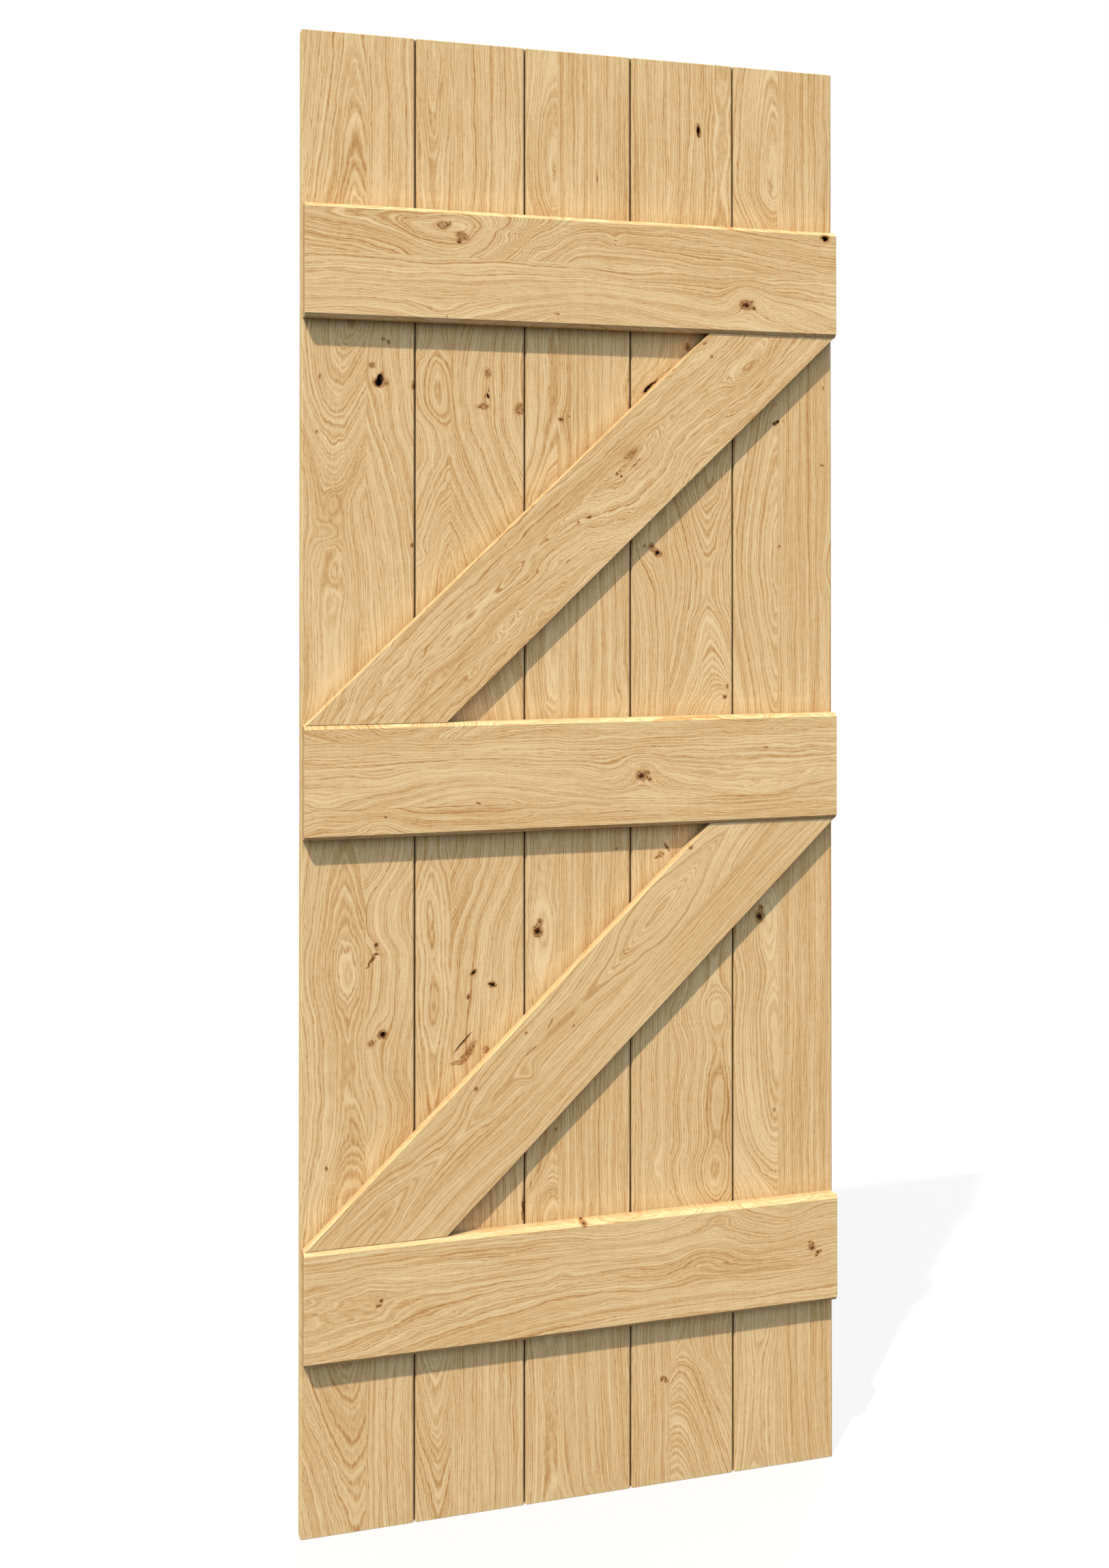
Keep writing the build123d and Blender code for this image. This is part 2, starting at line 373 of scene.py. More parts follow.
    depth = mathNode(tree, "MULTIPLY_ADD", early, weight, oak["base"])
    depth = mathNode(tree, "MULTIPLY_ADD", late, -oak["ringPale"], depth)
    layers = (
        (fibre, "fibreDark"), (band, "bandDark"), (thread, "threadDark"),
        (pore, "poreDark"), (broad, "broadDark"), (planing, "planingDark"),
    )
    for layer, dark in layers:
        depth = mathNode(tree, "MULTIPLY_ADD", layer, oak[dark], depth)
    depth = mathNode(tree, "ADD", depth, tone)
    ramp = tree.nodes.new("ShaderNodeValToRGB")
    stops = oak["depthStops"]
    while len(ramp.color_ramp.elements) < len(stops):
        ramp.color_ramp.elements.new(0.5)
    for element, (at, name) in zip(ramp.color_ramp.elements, stops):
        element.position = at
        element.color = paint(*oak[name])
    plug(tree, ramp.inputs[0], depth)

    colour = ramp.outputs[0]
    marks = knotMarks(tree, grain, staves)
    knotty = marks != 0.0
    if knotty:
        colour = knotColour(tree, grain, marks, colour)

    # painted shade down in the joints between boards
    for joint in piece.get("joints", []):
        away = mathNode(tree, "ABSOLUTE", mathNode(tree, "SUBTRACT", grain["across"], joint))
        inward = mathNode(tree, "SUBTRACT", grain["deep"], oak["boardMiddle"])
        close = rangeNode(tree, away, *oak["jointBeside"])
        inside = rangeNode(tree, mathNode(tree, "ABSOLUTE", inward), *oak["jointInside"])
        shade = mathNode(tree, "MULTIPLY", close, inside)
        colour = mixNode(tree, shade, colour, paint(*oak["jointShade"]))

    # end grain drinks more light than the sides
    facing = vectorNode(tree, "DOT_PRODUCT", coordinate.outputs["Normal"], lay["axis"])
    endOn = rangeNode(tree, mathNode(tree, "ABSOLUTE", facing), *oak["endRange"])
    colour = mixNode(tree, endOn, colour, paint(*oak["endGrain"]), "MULTIPLY")

    # painted shade in the corners where pieces meet, darker where more is hidden nearby
    corner = tree.nodes.new("ShaderNodeAmbientOcclusion")
    corner.samples = 2
    corner.inputs["Distance"].default_value = oak["cornerReach"]
    paintedShade = oak["cornerShade"]
    if lay is boardLay:
        paintedShade = rangeNode(tree, grain["along"], *oak["footUnshaded"], 0.0, paintedShade)
    if knotty:
        paintedShade = mathNode(tree, "MULTIPLY", rangeNode(tree, marks, *knotLook["shadeFree"]), paintedShade)
    hidden = mathNode(tree, "SUBTRACT", 1.0, corner.outputs["AO"])
    shadeMultiplier = mathNode(tree, "SUBTRACT", 1.0, mathNode(tree, "MULTIPLY", hidden, paintedShade))
    colour = mixNode(tree, 1.0, colour, shadeMultiplier, "MULTIPLY")
    plug(tree, shader.inputs["Base Color"], colour)

    rough = mathNode(tree, "MULTIPLY_ADD", pore, oak["poreRough"], oak["roughness"])
    plug(tree, shader.inputs["Roughness"], rough)
    shader.inputs["Specular IOR Level"].default_value = oak["shine"]
    bump = tree.nodes.new("ShaderNodeBump")
    bump.inputs["Strength"].default_value = oak["poreBump"]
    bump.inputs["Distance"].default_value = oak["poreDepth"]
    pits = mathNode(tree, "MULTIPLY", pore, -1.0)
    plug(tree, bump.inputs["Height"], mathNode(tree, "MULTIPLY_ADD", fibre, -oak["fibreBump"], pits))
    plug(tree, shader.inputs["Normal"], bump.outputs[0])
    return material


# how the millimetre grain axes lie on the leaf: along, deep, across
metre = 1000  # sizes here are in millimetres
ledgeThick = 20
braceWidth = 130
boardJoints = (-228.6, -76.2, 76.2, 228.6)  # from the middle of the leaf
boardLay = {"scale": (-metre, metre, metre), "turn": 90, "shift": (0, 0, 0), "axis": (0, 0, 1)}
ledgeLay = {"scale": (metre, metre, metre), "turn": 0, "shift": (0, ledgeThick, 0), "axis": (1, 0, 0)}


# a brace's grain starts at the low corner on the hinge side and runs up its slope
def braceLay(name):
    low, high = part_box(name)
    run, rise = high.x - low.x, high.z - low.z
    slope = math.atan2(rise, run) + math.asin(braceWidth / metre / math.hypot(run, rise))
    away = metre * (low.x * math.cos(slope) + low.z * math.sin(slope))
    aside = metre * (low.z * math.cos(slope) - low.x * math.sin(slope))
    axis = (math.cos(slope), 0, math.sin(slope))
    shift = (-away, -metre * low.y, -aside)
    return {"scale": (metre, metre, metre), "turn": math.degrees(slope), "shift": shift, "axis": axis}


# Each piece is glued up from staves. A stave's hearts give the log's heart along the piece: the place
# along it, the place across it, and how far the rings are lifted there. A knot has its place, the size
# and darkness of its mark, and the reach in which it lifts or spreads the rings. All in millimetres.
boardOne = {
    "node": "board_1", "lay": boardLay, "joints": boardJoints[:1],
    "seed": 1, "ring": 3.6, "wave": 12, "ripple": 6,
    "staves": [
        {
            "deep": 22,
            "hearts": [
                (0, -306, 52), (60, -308, 40), (120, -312, 26), (180, -318, 12), (231, -320, 2),
                (310, -318, -14), (400, -312, -18), (470, -311, -8), (545, -313, 4), (620, -317, 9),
                (680, -319, 5), (735, -320, 0), (790, -321, 5), (850, -322, 14), (915, -324, 24),
                (990, -332, 44), (1065, -340, 56), (1120, -341, 63), (1200, -341, 61), (1290, -343, 66),
                (1340, -345, 70), (1390, -338, 62), (1440, -336, 44), (1500, -332, 20), (1560, -322, 2),
                (1610, -312, -8), (1680, -308, -10), (1750, -310, 0), (1860, -311, 12), (1981, -312, 24),
            ],
            "knots": [
                {"at": (1930, -318), "size": (5, 28), "dark": 0.3},
                {"at": (1524, -357), "size": (2.5, 3.5), "dark": 0.75},
                {"at": (1451, -361), "size": (2, 2.5), "dark": 0.95},
                {"at": (1357, -340), "lift": 9, "reach": (8, 18)},
                {"at": (1318, -347), "lift": 11, "reach": (15, 14)},
                {"at": (1265, -338), "lift": 6, "reach": (7, 20)},
                {"at": (482, -347), "size": (1.6, 2.4), "dark": 1.1},
            ],
        },
        {
            "from": -295, "deep": 20, "tone": -0.01,
            "hearts": [
                (0, -420, 0), (120, -420, 3), (231, -420, 0), (381, -420, 0), (480, -420, 4), (545, -420, -8),
                (610, -420, 6), (660, -420, 0), (700, -420, -12), (750, -420, -14), (800, -420, 4),
                (860, -420, -18), (915, -420, -32), (1000, -420, -20), (1100, -420, 0), (1300, -420, 14),
                (1400, -420, 32), (1500, -420, 60), (1560, -420, 66), (1640, -420, 40), (1750, -420, 0),
                (1981, -420, 0),
            ],
            "knots": [
                {"at": (1576, -272), "size": (2.5, 2), "dark": 0.95},
                {"at": (1573, -265), "size": (2.2, 2.8), "dark": 1.1, "turn": 30},
                {"at": (1541, -287), "size": (4.5, 4), "dark": 0.8},
                {"at": (1518, -279), "size": (5.5, 4.5), "dark": 1.6, "spread": 16, "reach": (26, 42)},
                {"at": (1525, -276), "size": (3, 6), "dark": 1.3, "turn": -15},
                {"at": (1518, -267), "size": (6, 7), "dark": 0.42},
                {"at": (1516, -230), "size": (3, 6), "dark": 1.2},
                {"at": (1302, -233), "size": (2.2, 2.6), "dark": 1.0},
                {"at": (772, -281), "size": (2.2, 2.4), "dark": 1.2},
                {"at": (766, -281), "size": (3.5, 4), "dark": 0.55},
                {"at": (759, -280), "size": (3.5, 1.1), "dark": 0.95},
                {"at": (754, -285), "size": (1.4, 4.5), "dark": 1.2, "turn": -35},
                {"at": (746, -291), "size": (1.4, 5), "dark": 1.15, "turn": -30},
                {"at": (652, -272), "size": (4.5, 4.5), "dark": 1.1, "spread": 16, "reach": (20, 36)},
                {"at": (653, -273), "size": (10, 10), "dark": 0.25},
                {"at": (641, -288), "size": (6, 6), "dark": 0.6},
            ],
        },
    ],
}

boardTwo = {
    "node": "board_2", "lay": boardLay, "joints": boardJoints[:2],
    "seed": 2, "ring": 3.6, "wave": 12, "ripple": 6,
    "staves": [
        {
            "deep": 9,
            "hearts": [
                (0, -196, 46), (60, -196, 35), (120, -199, 22), (180, -201, 10), (231, -203, 0),
                (330, -204, -6), (430, -204, 4), (520, -204, 14), (600, -204, 10), (650, -203, 4),
                (695, -203, 0), (740, -205, 3), (790, -207, 0), (850, -206, 6), (915, -204, 16),
                (1000, -195, -10), (1150, -180, -46), (1250, -178, -44), (1290, -178, -34),
                (1350, -178, -14), (1400, -180, 6), (1440, -184, 17), (1470, -190, 9), (1510, -197, 0),
                (1560, -199, 12), (1600, -200, 20), (1680, -202, 14), (1750, -204, 4), (1860, -204, 0),
                (1981, -203, -4),
            ],
            "knots": [
                {"at": (1915, -194), "size": (4, 22), "dark": 0.42, "turn": -12},
                {"at": (1508, -197), "size": (8, 24), "dark": 0.3},
                {"at": (1285, -217), "lift": 12, "reach": (12, 13)},
            ],
        },
        {
            "from": -180, "deep": 20, "tone": 0.01,
            "hearts": [
                (0, -300, 0), (231, -300, 0), (400, -300, 0), (600, -300, 10), (690, -300, 4), (750, -300, 0),
                (850, -300, -32), (915, -300, -46), (1060, -300, -30), (1200, -300, -6), (1250, -300, 0),
                (1350, -300, 40), (1430, -300, 72), (1480, -300, 86), (1540, -300, 88), (1620, -300, 70),
                (1750, -300, 0), (1981, -300, 0),
            ],
            "knots": [
                {"at": (1535, -128), "size": (7, 8), "dark": 0.58},
                {"at": (1508, -130), "size": (2.6, 11), "dark": 0.6, "turn": -18},
                {"at": (1508, -130), "spread": 14, "reach": (26, 44)},
                {"at": (1490, -135), "size": (9, 4), "dark": 0.72},
                {"at": (1488, -84), "size": (8, 9), "dark": 0.72, "spread": 12, "reach": (20, 30)},
                {"at": (728, -147), "size": (2.6, 2), "dark": 1.2, "turn": 30},
                {"at": (725, -150), "size": (2.2, 1.7), "dark": 1.1},
                {"at": (723, -151), "size": (7, 5), "dark": 0.38},
                {"at": (708, -121), "size": (3.2, 2.8), "dark": 1.25, "spread": 8, "reach": (18, 30)},
                {"at": (710, -126), "size": (2.2, 1.8), "dark": 1.1},
                {"at": (709, -123), "size": (7, 5), "dark": 0.32},
                {"at": (694, -155), "size": (2.2, 3.6), "dark": 1.15},
                {"at": (633, -163), "size": (1.2, 17), "dark": 0.9, "turn": -43},
                {"at": (622, -153), "size": (5.5, 16), "dark": 0.66, "turn": -28},
                {"at": (612, -163), "size": (4, 4), "dark": 0.5},
                {"at": (621, -131), "size": (4.5, 5.5), "dark": 0.9},
                {"at": (606, -172), "size": (7, 2.5), "dark": 0.8},
                {"at": (403, -79), "size": (2, 14), "dark": 1.3},
            ],
        },
    ],
}

boardThree = {
    "node": "board_3", "lay": boardLay, "joints": boardJoints[1:3],
    "seed": 3, "ring": 3.6, "wave": 9, "ripple": 4,
    "staves": [
        {
            "deep": 18, "tone": -0.02, "bold": 0.75,
            "hearts": [
                (0, -36, 0), (100, -38, 4), (231, -40, 0), (381, -36, -30), (430, -36, -14), (490, -34, 0),
                (600, -44, 4), (700, -52, 4), (778, -54, 0), (850, -50, 4), (915, -46, 0), (1065, -36, -40),
                (1200, -32, -50), (1360, -30, -26), (1460, -30, 0), (1520, -33, 5), (1600, -36, 6),
                (1700, -34, 14), (1750, -33, 10), (1790, -33, 2), (1825, -33, 0), (1870, -33, 2),
                (1920, -34, 8), (1981, -36, 14),
            ],
            "knots": [
                {"at": (1812, -35), "size": (3.5, 18), "dark": 0.45},
                {"at": (1516, -42), "size": (2.5, 12), "dark": 0.42, "turn": -10},
                {"at": (777, -59), "size": (5.5, 6.5), "dark": 1.05, "spread": 12, "reach": (18, 34)},
                {"at": (776, -55), "size": (9, 9), "dark": 0.3},
                {"at": (790, -55), "size": (3.6, 3.6), "dark": 0.95},
                {"at": (505, -32), "size": (1.6, 2.5), "dark": 1.0},
            ],
        },
        {
            "from": -30, "deep": 30, "tone": 0.03, "bold": 0.7,
            "hearts": [(0, -200, -16), (150, -200, 0), (300, -200, 4), (1000, -200, 0), (1981, -200, 0)],
            "knots": [
                {"at": (1810, 27), "size": (1, 7), "dark": 0.8},
                {"at": (1520, 64), "lift": 8, "reach": (12, 26)},
                {"at": (1475, -25), "size": (3.4, 3), "dark": 1.2, "lift": 8, "reach": (10, 24)},
                {"at": (1480, -13), "size": (2.5, 3), "dark": 0.5},
                {"at": (1085, 65), "size": (7, 14), "dark": 0.22, "lift": -8, "reach": (12, 30)},
                {"at": (884, 55), "size": (1.4, 1.8), "dark": 1.1},
            ],
        },
    ],
}

boardFour = {
    "node": "board_4", "lay": boardLay, "joints": boardJoints[2:],
    "seed": 4, "ring": 3.6, "wave": 12, "ripple": 5,
    "staves": [
        {
            "deep": 30,
            "hearts": [
                (0, -20, 0), (231, -20, 0), (440, -20, 4), (760, -20, 0), (1050, -20, 0), (1180, -20, -4),
                (1270, -20, 8), (1330, -20, 20), (1500, -20, -10), (1540, -20, -34), (1600, -20, -60),
                (1680, -20, -30), (1750, -20, 0), (1981, -20, 4),
            ],
            "knots": [
                {"at": (1910, 125), "size": (1.6, 60), "dark": 0.42, "turn": -3},
                {"at": (1520, 99), "size": (2, 5), "dark": 1.6, "turn": -42},
                {"at": (1528, 108), "size": (1.3, 9), "dark": 1.3, "turn": -50},
                {"at": (1527, 105), "size": (5, 13), "dark": 0.35, "turn": -45},
                {"at": (1301, 107), "size": (4.5, 5), "dark": 0.95, "spread": 16, "reach": (24, 50)},
                {"at": (1303, 97), "size": (2, 2.4), "dark": 0.9},
                {"at": (1293, 115), "size": (3.6, 3.8), "dark": 1.35},
                {"at": (1290, 119), "size": (9, 7), "dark": 0.3},
                {"at": (887, 127), "size": (1.8, 2), "dark": 0.9},
                {"at": (882, 129), "size": (2, 2.2), "dark": 1.15},
                {"at": (878, 132), "size": (1.6, 1.8), "dark": 0.95},
                {"at": (869, 114), "size": (1.8, 1.8), "dark": 0.95},
                {"at": (873, 120), "size": (4.6, 4.6), "dark": 0.8, "spread": 8, "reach": (16, 26)},
                {"at": (440, 110), "lift": 10, "reach": (10, 30)},
                {"at": (145, 121), "size": (2, 3.4), "dark": 1.1, "turn": -20},
                {"at": (143, 127), "size": (2.2, 4), "dark": 1.0, "turn": 20},
                {"at": (50, 128), "size": (2.2, 10), "dark": 0.36},
            ],
        },
        {
            "from": 134, "deep": 16,
            "hearts": [
                (0, 140, -20), (60, 142, 0), (150, 150, 38), (231, 160, 60), (310, 190, 40), (381, 203, 8),
                (430, 201, -4), (470, 204, 2), (520, 204, 0), (600, 206, 6), (650, 204, 0), (700, 200, 12),
                (760, 196, 0), (900, 194, -30), (1050, 196, -24), (1100, 198, -10), (1200, 192, 18),
                (1250, 190, 26), (1300, 190, 20), (1350, 190, 8), (1400, 192, -4), (1560, 196, -10),
                (1750, 210, 0), (1860, 212, 4), (1981, 214, 0),
            ],
            "knots": [
                {"at": (1886, 177), "size": (2.4, 8), "dark": 1.7, "turn": 8, "spread": 6, "reach": (10, 30)},
                {"at": (1581, 161), "size": (5.5, 5.5), "dark": 1.0, "lift": -10, "reach": (16, 20)},
                {"at": (1105, 220), "size": (3, 4), "dark": 0.6},
                {"at": (1090, 216), "size": (3, 2.8), "dark": 1.2, "lift": -14, "reach": (16, 22)},
                {"at": (120, 196), "size": (1.6, 24), "dark": 0.4, "turn": 25},
                {"at": (94, 204), "size": (1.8, 24), "dark": 0.45, "turn": 27},
                {"at": (62, 190), "size": (2, 14), "dark": 0.42, "turn": 27},
                {"at": (42, 211), "size": (2, 16), "dark": 0.4, "turn": 27},
            ],
        },
    ],
}

boardFive = {
    "node": "board_5", "lay": boardLay, "joints": boardJoints[3:],
    "seed": 5, "ring": 3.6, "wave": 9, "ripple": 4,
    "staves": [
        {
            "deep": 16, "tone": -0.02, "bold": 0.85,
            "hearts": [
                (0, 262, 0), (100, 264, 4), (231, 272, 0), (330, 290, 60), (420, 294, 38), (520, 294, 4),
                (620, 292, 0), (700, 290, 6), (760, 284, 4), (850, 288, 14), (1000, 296, 40), (1065, 297, 30),
                (1170, 297, 14), (1230, 297, 4), (1290, 297, 0), (1350, 297, 5), (1415, 297, 16),
                (1480, 297, 26), (1600, 295, 40), (1690, 293, 40), (1750, 292, 24), (1790, 292, 7),
                (1820, 292, 0), (1870, 292, 1), (1920, 291, 5), (1981, 289, 14),
            ],
            "knots": [
                {"at": (1815, 287), "size": (3.5, 18), "dark": 0.45},
                {"at": (1477, 293), "size": (3.6, 3), "dark": 1.25},
                {"at": (1481, 306), "size": (2.5, 2.5), "dark": 0.5},
                {"at": (791, 271), "size": (2.8, 3), "dark": 1.0},
                {"at": (779, 268), "size": (5.5, 6.5), "dark": 1.1, "spread": 12, "reach": (18, 30)},
                {"at": (776, 272), "size": (9, 9), "dark": 0.28},
                {"at": (503, 292), "size": (1.6, 3), "dark": 0.95},
            ],
        },
        {
            "from": 297, "deep": 30, "tone": 0.03, "bold": 0.75,
            "hearts": [(0, 160, -10), (231, 160, 0), (1000, 160, 0), (1981, 160, 0)],
            "knots": [
                {"at": (1530, 368), "size": (1.2, 3), "dark": 0.8},
                {"at": (1419, 364), "size": (1.5, 1.8), "dark": 1.0},
                {"at": (1419, 368), "size": (1.2, 1.5), "dark": 1.1},
                {"at": (1303, 299), "size": (2.2, 3), "dark": 0.8},
                {"at": (1275, 372), "lift": 10, "reach": (14, 34)},
            ],
        },
    ],
}

# the top and middle ledges have staves from one plank, with the same knot in each
plankKnots = [
    {"at": (-440, -31), "lift": 14, "reach": (16, 50)},
    {"at": (-235, -42), "lift": -46, "reach": (46, 90)},
    {"at": (-45, 0), "lift": 8, "reach": (30, 30)},
    {"at": (3, 6), "lift": -20, "reach": (24, 24)},
    {"at": (0, 0), "size": (5.2, 6.5), "dark": 1.0, "spread": 8, "reach": (14, 22)},
    {"at": (2, -1), "size": (9, 12), "dark": 0.26},
    {"at": (12, -5), "size": (2.2, 2.4), "dark": 1.05},
    {"at": (9, 4), "size": (1.6, 1.8), "dark": 0.7},
    {"at": (165, -41), "lift": 30, "reach": (50, 120)},
]


def shiftKnots(knots, along, across):
    return [{**knot, "at": (knot["at"][0] + along, knot["at"][1] + across)} for knot in knots]


topLedge = {
    "node": "top_ledge", "lay": ledgeLay,
    "seed": 6, "ring": 3.6, "wave": 17, "ripple": 7,
    "staves": [
        {
            "deep": 20, "tone": -0.03,
            "hearts": [(-380, 1400, 0), (380, 1400, 0)],
            "knots": shiftKnots(plankKnots, 240, 1641) + [
                {"at": (-37, 1617), "size": (1.4, 4), "dark": 0.85},
                {"at": (-190, 1607), "size": (1.2, 1.5), "dark": 1.1},
            ],
        },
        {
            "from": 1687, "deep": 7, "tone": 0.03, "bold": 1.35,
            "hearts": [
                (-380, 1742, 22), (-280, 1738, 13), (-220, 1728, 3), (-185, 1726, 0), (-150, 1730, 12),
                (-120, 1736, 30), (-90, 1740, 50), (-60, 1742, 70), (-30, 1752, 76), (0, 1760, 80),
                (40, 1766, 76), (100, 1770, 72), (200, 1772, 64), (300, 1772, 54), (380, 1772, 46),
            ],
            "knots": [
                {"at": (-195, 1729), "size": (5.5, 10), "dark": 0.74},
                {"at": (-186, 1732), "size": (1.8, 2.2), "dark": 0.5},
                {"at": (-169, 1716), "size": (5.5, 10), "dark": 0.76, "turn": 15},
                {"at": (-173, 1708), "size": (2.2, 2.6), "dark": 1.3},
                {"at": (-118, 1722), "lift": 5, "reach": (7, 16)},
                {"at": (-104, 1712), "lift": -5, "reach": (7, 16)},
                {"at": (-94, 1726), "lift": 5, "reach": (7, 14)},
                {"at": (-82, 1716), "lift": -5, "reach": (7, 14)},
                {"at": (-70, 1703), "lift": 4, "reach": (7, 14)},
                {"at": (47, 1719), "lift": -6, "reach": (9, 11)},
                {"at": (47, 1722), "size": (1.2, 1.2), "dark": 1.0},
                {"at": (47, 1716), "size": (1.1, 1.1), "dark": 1.0},
                {"at": (62, 1738), "size": (2.5, 9), "dark": 0.4},
                {"at": (362, 1741), "size": (4, 5.5), "dark": 1.7},
            ],
        },
    ],
}

middleLedge = {
    "node": "middle_ledge", "lay": ledgeLay,
    "seed": 7, "ring": 3.6, "wave": 17, "ripple": 7,
    "staves": [
        {
            "deep": 20, "tone": 0.03,
            "hearts": [(-380, 760, 0), (380, 760, 0)],
            "knots": [
                {"at": (-350, 945), "lift": -10, "reach": (26, 36)},
                {"at": (-275, 935), "lift": -15, "reach": (30, 32)},
                {"at": (-272, 943), "size": (1.3, 1.4), "dark": 1.2},
            ],
        },
        {
            "from": 955, "deep": 20, "tone": -0.03, "bold": 0.85,
            "hearts": [(-380, 745, 0), (380, 745, 0)],
            "knots": shiftKnots(plankKnots, 85, 986) + [
                {"at": (-146, 956), "size": (1.6, 3), "dark": 0.95},
                {"at": (271, 1020), "size": (1.1, 6), "dark": 0.8},
            ],
        },
        {
            "from": 1044, "deep": 10, "tone": 0.03,
            "hearts": [
                (-380, 1080, 40), (-300, 1080, 16), (-250, 1080, 0), (-220, 1080, 14), (-180, 1080, 40),
                (-140, 1080, 64), (-100, 1080, 72), (0, 1080, 76), (200, 1080, 70), (260, 1080, 66),
                (300, 1080, 78), (380, 1080, 60),
            ],
        },
    ],
}

bottomLedge = {
    "node": "bottom_ledge", "lay": ledgeLay,
    "seed": 8, "ring": 3.6, "wave": 19, "ripple": 8,
    "staves": [
        {
            "deep": 20, "tone": 0.01, "bold": 0.72,
            "hearts": [(-380, 30, 0), (380, 30, 0)],
            "knots": [
                {"at": (-440, 235), "lift": 66, "reach": (76, 280)},
                {"at": (-285, 312), "spread": 10, "reach": (22, 36)},
                {"at": (-278, 308), "size": (2, 2.2), "dark": 1.15},
                {"at": (-281, 302), "size": (2, 3.2), "dark": 1.0},
                {"at": (-365, 300), "size": (2.5, 6), "dark": 0.5},
                {"at": (-30, 318), "lift": -7, "reach": (14, 20)},
                {"at": (2, 379), "size": (4, 4), "dark": 1.15},
                {"at": (60, 385), "lift": 22, "reach": (34, 60)},
                {"at": (180, 318), "lift": -16, "reach": (22, 45)},
                {"at": (200, 372), "lift": -26, "reach": (24, 34)},
                {"at": (300, 355), "lift": 14, "reach": (30, 40)},
                {"at": (339, 313), "size": (5, 4.2), "dark": 0.72, "spread": 12, "reach": (22, 32)},
                {"at": (336, 318), "size": (1.8, 1.6), "dark": 0.6},
                {"at": (341, 309), "size": (1.8, 1.8), "dark": 0.6},
                {"at": (349, 302), "size": (2, 2), "dark": 1.1},
                {"at": (353, 304), "size": (1.7, 1.8), "dark": 0.95},
                {"at": (346, 299), "size": (1.5, 1.5), "dark": 0.9},
                {"at": (344, 308), "size": (9, 8), "dark": 0.28},
            ],
        },
    ],
}

upperBrace = {
    "node": "upper_brace", "lay": braceLay("upper_brace"),
    "seed": 9, "ring": 3.6, "wave": 24, "ripple": 15,
    "staves": [
        {
            "deep": 7, "bold": 1.25,
            "hearts": [
                (0, -60, 60), (110, -52, 52), (200, -50, 50), (300, -48, 54), (380, -46, 50), (430, -44, 44),
                (470, -43, 30), (510, -42, 12), (565, -42, 0), (610, -44, 8), (640, -48, 18), (700, -56, 22),
                (790, -60, 20), (960, -60, 30),
            ],
            "knots": [
                {"at": (180, -72), "size": (6, 50), "dark": 0.3, "turn": 4},
                {"at": (300, -80), "size": (6, 44), "dark": 0.3, "turn": -4},
                {"at": (165, -76), "lift": 9, "reach": (9, 26)},
                {"at": (290, -86), "lift": 12, "reach": (12, 26)},
                {"at": (355, -72), "lift": -8, "reach": (10, 26)},
                {"at": (210, -112), "lift": -8, "reach": (8, 16)},
                {"at": (330, -110), "lift": 10, "reach": (12, 20)},
                {"at": (456, -61), "size": (1.8, 2), "dark": 1.0},
                {"at": (472, -66), "size": (1.8, 2.4), "dark": 1.3},
                {"at": (541, -50), "size": (1.6, 1.8), "dark": 1.2},
                {"at": (544, -56), "size": (1.6, 1.6), "dark": 1.2},
                {"at": (548, -51), "size": (1.4, 1.4), "dark": 1.1},
                {"at": (575, -44), "size": (8, 20), "dark": 0.5},
                {"at": (572, -58), "size": (1.2, 9), "dark": 0.75},
                {"at": (790, -75), "size": (9, 40), "dark": 0.4, "lift": -22, "reach": (14, 46)},
            ],
        },
        {
            "from": -44, "deep": 20, "tone": 0.03,
            "hearts": [
                (0, -200, 50), (50, -200, 25), (100, -200, 6), (150, -200, 0), (300, -200, -4),
                (500, -200, 2), (780, -200, 14), (960, -200, 20),
            ],
            "knots": [
                {"at": (757, -25), "size": (2, 2), "dark": 1.0},
                {"at": (763, -5), "size": (2.2, 3), "dark": 0.85},
            ],
        },
    ],
}

lowerBrace = {
    "node": "lower_brace", "lay": braceLay("lower_brace"),
    "seed": 10, "ring": 3.6, "wave": 16, "ripple": 6,
    "staves": [
        {
            "deep": 30, "tone": 0.03, "bold": 0.8,
            "hearts": [(0, -330, 10), (150, -330, 0), (360, -330, 6), (600, -330, 0), (960, -330, 0)],
        },
        {
            "from": -70, "deep": 6, "tone": 0.02, "bold": 0.7,
            "hearts": [
                (0, -46, 30), (70, -48, 22), (130, -44, 30), (200, -46, 42), (240, -48, 44), (280, -46, 36),
                (330, -44, 30), (380, -42, 28), (460, -42, 26), (530, -42, 20), (590, -36, 8), (645, -32, 0),
                (690, -30, 6), (740, -26, 18), (800, -22, 30), (960, -20, 40),
            ],
            "knots": [
                {"at": (735, -3), "size": (2.2, 3), "dark": 1.0},
                {"at": (449, -57), "size": (1.3, 1.4), "dark": 1.15},
                {"at": (397, -14), "size": (2, 3), "dark": 0.8},
                {"at": (385, -37), "size": (0.9, 11), "dark": 0.8, "turn": 4},
                {"at": (430, -30), "size": (0.9, 9), "dark": 0.8, "turn": -12},
                {"at": (361, -60), "lift": -12, "reach": (14, 14)},
                {"at": (299, -17), "size": (2.4, 2.6), "dark": 1.0},
            ],
        },
    ],
}


# the same finish in every slot of a node
def dress(name, material):
    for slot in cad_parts[name].material_slots:
        slot.material = material


oakPieces = [
    boardOne, boardTwo, boardThree, boardFour, boardFive,
    topLedge, middleLedge, bottomLedge, upperBrace, lowerBrace,
]
for piece in oakPieces:
    dress(piece["node"], oakMaterial(piece))
print("oak on", len(oakPieces), "pieces")

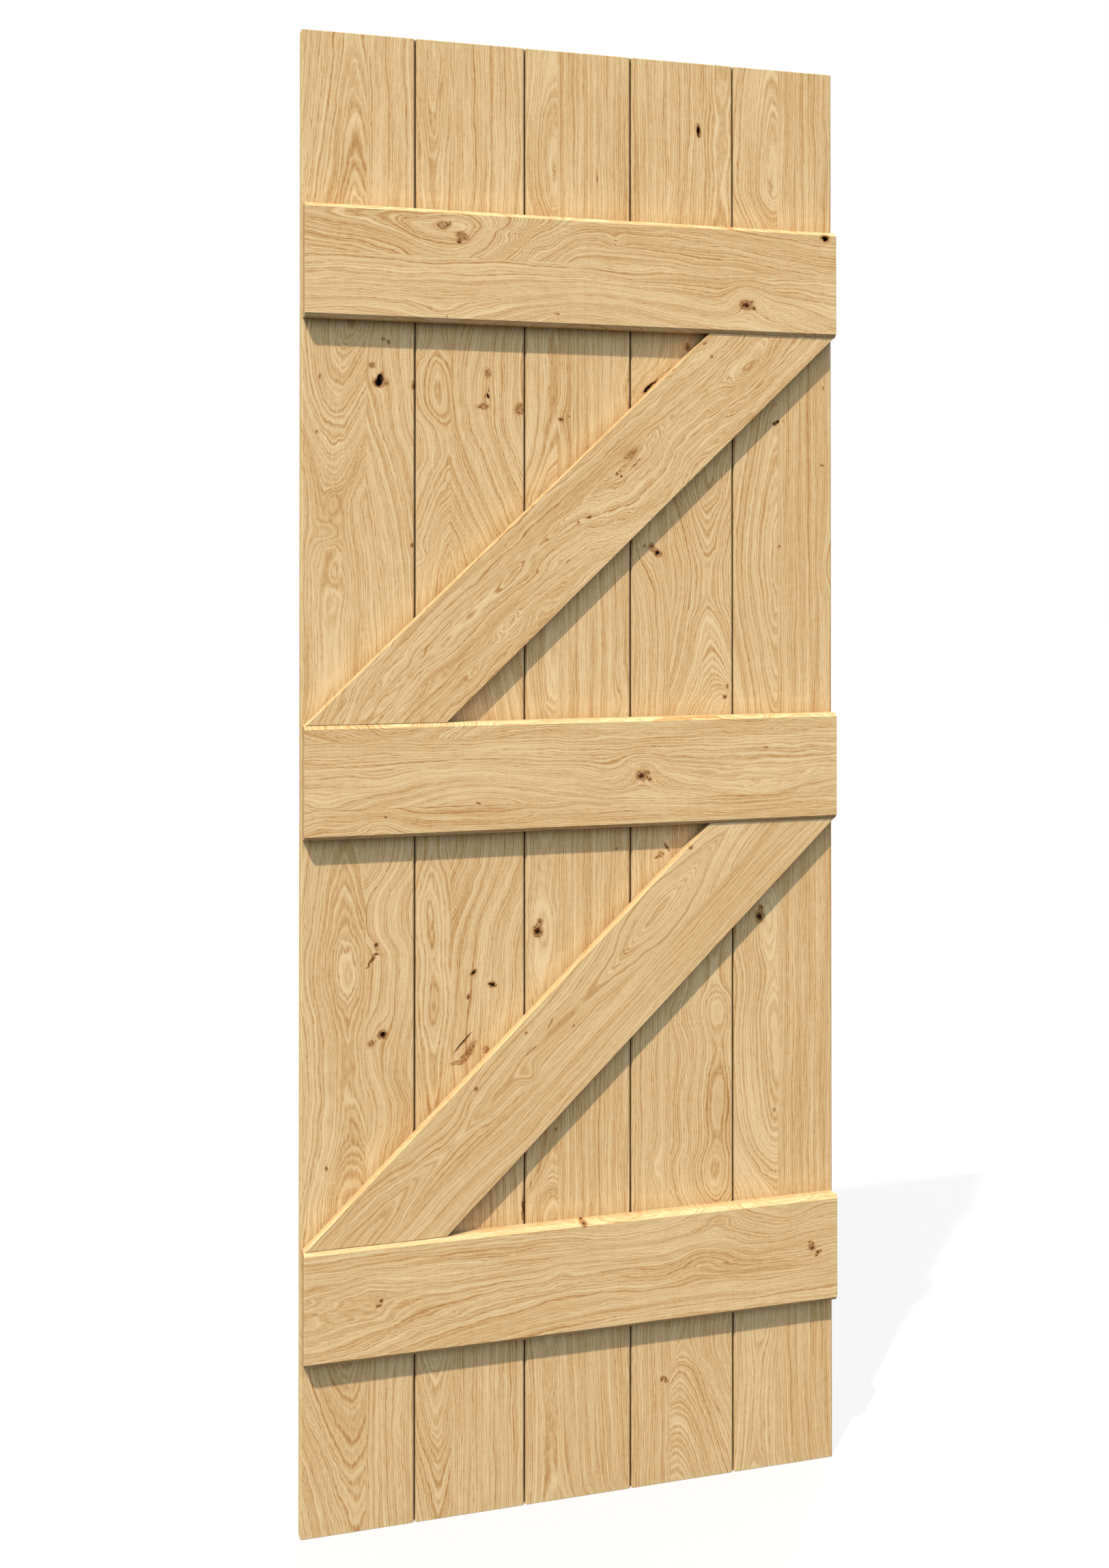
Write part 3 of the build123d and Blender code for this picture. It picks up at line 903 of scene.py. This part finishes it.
# pellets cut from offcuts, a shade darker than the boards
pellets = {
    "node": "pellet", "lay": boardLay,
    "seed": 11, "ring": 2.0, "wave": 16, "ripple": 4,
    "staves": [{"deep": 40, "tone": 0.2, "hearts": [(0, -900, 0), (1981, -900, 0)]}],
}
pelletOak = oakMaterial(pellets)
for name in ("ledge_pellets", "brace_pellets"):
    dress(name, pelletOak)
print("pellets done")

screwSteel = {
    "colour": (150, 146, 138),
    "roughness": 0.34,
    "scratchSize": (0.0006, 0.004, 0.0006),  # metres
    "scratchRough": 0.3,
}


def steelMaterial():
    material = bpy.data.materials.new("screwSteel")
    material.use_nodes = True
    tree = material.node_tree
    shader = tree.nodes["Principled BSDF"]
    coordinate = tree.nodes.new("ShaderNodeTexCoord")
    scratch = noiseNode(tree, coordinate.outputs["Object"], screwSteel["scratchSize"], 3.0)
    rough = mathNode(tree, "MULTIPLY_ADD", scratch, screwSteel["scratchRough"], screwSteel["roughness"])
    plug(tree, shader.inputs["Roughness"], rough)
    shader.inputs["Metallic"].default_value = 1.0
    shader.inputs["Base Color"].default_value = paint(*screwSteel["colour"])
    return material


steel = steelMaterial()
for name in ("ledge_screws", "brace_screws"):
    dress(name, steel)
print("screws done")

# light: one high sun from the left front, a soft lamp behind on the right, a pale sky, and a white floor
studio = {
    "sun": {"from": (-0.353, -0.416, 0.838), "strength": 3.5, "angle": 1.5},
    "backLamp": {"from": (0.395, 0.677, 0.62), "strength": 1.8, "angle": 25},
    "lampColour": (1.0, 0.889, 0.722),
    "skyColour": (0.95, 1.04, 1.19, 1),
    "skyStrength": 0.835,
    "backdrop": (1, 1, 1, 1),
    "floorHalf": 30.0,
    "floorColour": (0.18, 0.18, 0.18, 1),
    "floorBounce": (0.03, 0.03, 0.03, 1),
    "floorGlow": 0.72,
}

for name in ("sun", "backLamp"):
    lamp = bpy.data.objects.new(name, bpy.data.lights.new(name, "SUN"))
    scene.collection.objects.link(lamp)
    lamp.data.energy = studio[name]["strength"]
    lamp.data.color = studio["lampColour"]
    lamp.data.angle = math.radians(studio[name]["angle"])
    lamp.rotation_euler = (-Vector(studio[name]["from"])).to_track_quat("-Z", "Y").to_euler()


# what a camera, a mirror or clear glass sees directly
def seenDirectly(tree):
    path = tree.nodes.new("ShaderNodeLightPath")
    seen = mathNode(tree, "MAXIMUM", path.outputs["Is Camera Ray"], path.outputs["Is Glossy Ray"])
    return mathNode(tree, "MAXIMUM", seen, path.outputs["Is Transmission Ray"])


world = bpy.data.worlds.new("paleSky")
scene.world = world
world.use_nodes = True
skyTree = world.node_tree
sky = skyTree.nodes["Background"]
seen = seenDirectly(skyTree)
dim = studio["skyStrength"]
plug(skyTree, sky.inputs["Color"], mixNode(skyTree, seen, studio["skyColour"], studio["backdrop"]))
plug(skyTree, sky.inputs["Strength"], mathNode(skyTree, "MULTIPLY_ADD", seen, 1 - dim, dim))


def floorMaterial():
    material = bpy.data.materials.new("paleFloor")
    material.use_nodes = True
    tree = material.node_tree
    tree.nodes.remove(tree.nodes["Principled BSDF"])
    seen = seenDirectly(tree)
    diffuse = tree.nodes.new("ShaderNodeBsdfDiffuse")
    plug(tree, diffuse.inputs["Color"], mixNode(tree, seen, studio["floorBounce"], studio["floorColour"]))
    glow = tree.nodes.new("ShaderNodeEmission")
    plug(tree, glow.inputs["Strength"], mathNode(tree, "MULTIPLY", seen, studio["floorGlow"]))
    both = tree.nodes.new("ShaderNodeAddShader")
    fillNode(tree, both, (diffuse.outputs[0], glow.outputs[0]))
    plug(tree, tree.nodes["Material Output"].inputs["Surface"], both.outputs[0])
    return material


floorMesh = bpy.data.meshes.new("floor")
shape = bmesh.new()
bmesh.ops.create_grid(shape, x_segments=1, y_segments=1, size=studio["floorHalf"])
shape.to_mesh(floorMesh)
shape.free()
floor = bpy.data.objects.new("floor", floorMesh)
scene.collection.objects.link(floor)
floor.data.materials.append(floorMaterial())
print("light and floor set")
